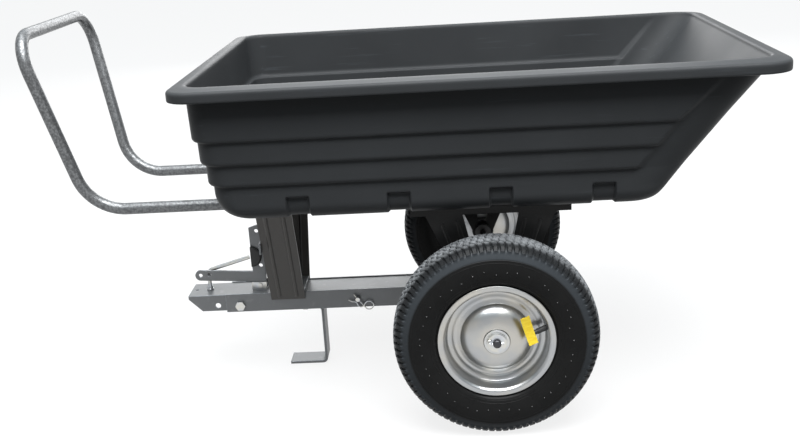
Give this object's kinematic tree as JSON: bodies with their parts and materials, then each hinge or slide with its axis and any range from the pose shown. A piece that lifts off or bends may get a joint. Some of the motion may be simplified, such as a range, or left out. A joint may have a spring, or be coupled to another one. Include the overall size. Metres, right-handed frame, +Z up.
{
  "type": "tipping dump cart",
  "caption": "Tipping garden cart: a black moulded tub over an axle with air tyres, a tow tongue with a hitch pin, a foot latch, a stand leg and a bent tube push handle.",
  "frame": {"origin": "on the ground under the middle of the cart's bounding box", "axes": "+X to the rear, where the tub tips out; +Y to the far side of the picture; +Z up"},
  "size_m": [1.4896, 0.8284, 0.8258],
  "materials": {
    "tub_plastic": "satin moulded black with a fine grain",
    "handle_paint": "hammered silver-grey paint",
    "frame_paint": "dark grey powder coat",
    "strut_paint": "brownish dark grey powder coat",
    "bracket_paint": "black powder coat",
    "zinc": "bright zinc plate",
    "spring_steel": "bright drawn wire",
    "axle_steel": "plain turned steel",
    "black_plastic": "plain black",
    "black_rubber": "matt black rubber",
    "tyre": "black rubber with a grey bloom on the shoulder",
    "tube_rubber": "matt black rubber",
    "rim_steel": "bright spun steel",
    "hub_steel": "zinc plate",
    "tag_yellow": "blank yellow film"
  },
  "bodies": {
    "chassis": {"draw_bar": "frame_paint", "tongue": "frame_paint", "tongue_bolt": "zinc", "tongue_nut": "zinc", "clevis_pin": "zinc", "r_clip": "spring_steel", "axle": "axle_steel", "axle_seat": "frame_paint", "axle_cap": "frame_paint", "axle_cap_bolts": "zinc", "axle_cap_nuts": "zinc", "axle_spacers": "frame_paint", "axle_washers": "zinc", "cotter_pins": "spring_steel", "stand_leg": "frame_paint", "stand_bolts": "zinc", "stand_nuts": "zinc", "latch_bracket": "zinc", "latch_bracket_bolts": "zinc", "latch_pivot_pin": "zinc", "latch_spring": "spring_steel"},
    "tub": {"tub": "tub_plastic", "handle": "handle_paint", "handle_plugs": "black_plastic", "handle_bolts": "zinc", "handle_nuts": "zinc", "strut_near": "strut_paint", "strut_far": "strut_paint", "strut_saddle": "frame_paint", "latch_striker": "frame_paint", "axle_bracket_near": "bracket_paint", "axle_bracket_far": "bracket_paint", "bracket_bushes": "black_plastic", "bracket_bolts": "zinc", "bracket_nuts": "zinc"},
    "latch": {"latch_lever": "frame_paint", "latch_bumper": "black_rubber"},
    "hitch": {"hitch_pin": "zinc"},
    "wheel_near": {"tyre_near": "tyre", "inner_tube_near": "tube_rubber", "rim_outer_near": "rim_steel", "rim_inner_near": "rim_steel", "hub_near": "hub_steel", "hub_bearings_near": "hub_steel", "valve_stem_near": "black_rubber", "valve_cap_near": "black_rubber", "valve_tag": "tag_yellow"},
    "wheel_far": {"tyre_far": "tyre", "inner_tube_far": "tube_rubber", "rim_outer_far": "rim_steel", "rim_inner_far": "rim_steel", "hub_far": "hub_steel", "hub_bearings_far": "hub_steel", "valve_stem_far": "black_rubber", "valve_cap_far": "black_rubber"}
  },
  "joints": [
    {"name": "tub_tip", "type": "hinge", "parent": "chassis", "child": "tub", "pos_m": [0.18982, 0, 0.203], "axis": [0, 1, 0], "range_deg": [0, 55]},
    {"name": "latch_pivot", "type": "hinge", "parent": "chassis", "child": "latch", "pos_m": [-0.33718, 0, 0.1971], "axis": [0, 1, 0], "range_deg": [-6, 3], "stiffness_Nm_per_rad": 60},
    {"name": "hitch_lift", "type": "slide", "parent": "chassis", "child": "hitch", "axis": [0, 0, 1], "range_m": [0, 0.08]},
    {"name": "wheel_near_spin", "type": "hinge", "parent": "chassis", "child": "wheel_near", "pos_m": [0.18982, -0.36, 0.203], "axis": [0, 1, 0], "continuous": true},
    {"name": "wheel_far_spin", "type": "hinge", "parent": "chassis", "child": "wheel_far", "pos_m": [0.18982, 0.36, 0.203], "axis": [0, 1, 0], "continuous": true}
  ]
}
